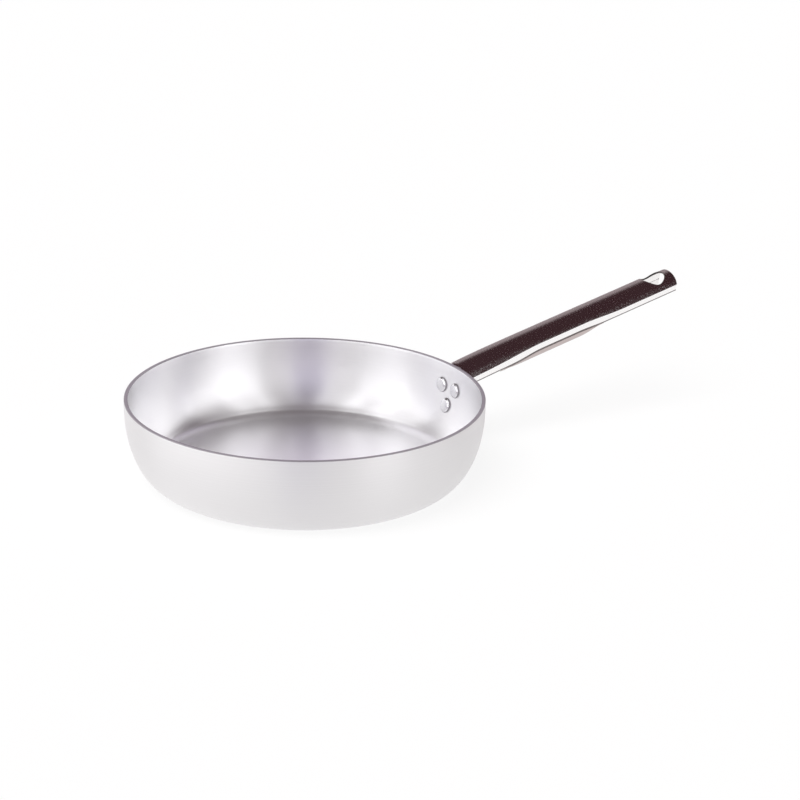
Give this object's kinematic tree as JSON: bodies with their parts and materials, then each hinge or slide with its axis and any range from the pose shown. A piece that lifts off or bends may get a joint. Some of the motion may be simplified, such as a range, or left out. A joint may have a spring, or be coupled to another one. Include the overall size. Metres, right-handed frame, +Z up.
{
  "type": "saute pan",
  "caption": "Round aluminium saute pan with curved walls and a riveted, rolled steel handle with a hanging hole, for frying and tossing food.",
  "frame": {"origin": "centre of the flat underside, on the pan's axis", "axes": "+Z up along the pan's axis, out of its open top; +X from the pan's axis towards the handle; +Y to the left of the handle"},
  "size_m": [0.5073, 0.28, 0.1135],
  "materials": {
    "spun_aluminium": "satin",
    "polished_steel": "polished",
    "rivet_aluminium": "polished"
  },
  "bodies": {
    "root": {"pan_body": "spun_aluminium", "handle": "polished_steel", "rivet_upper_left": "rivet_aluminium", "rivet_upper_right": "rivet_aluminium", "rivet_lower": "rivet_aluminium"}
  },
  "joints": []
}
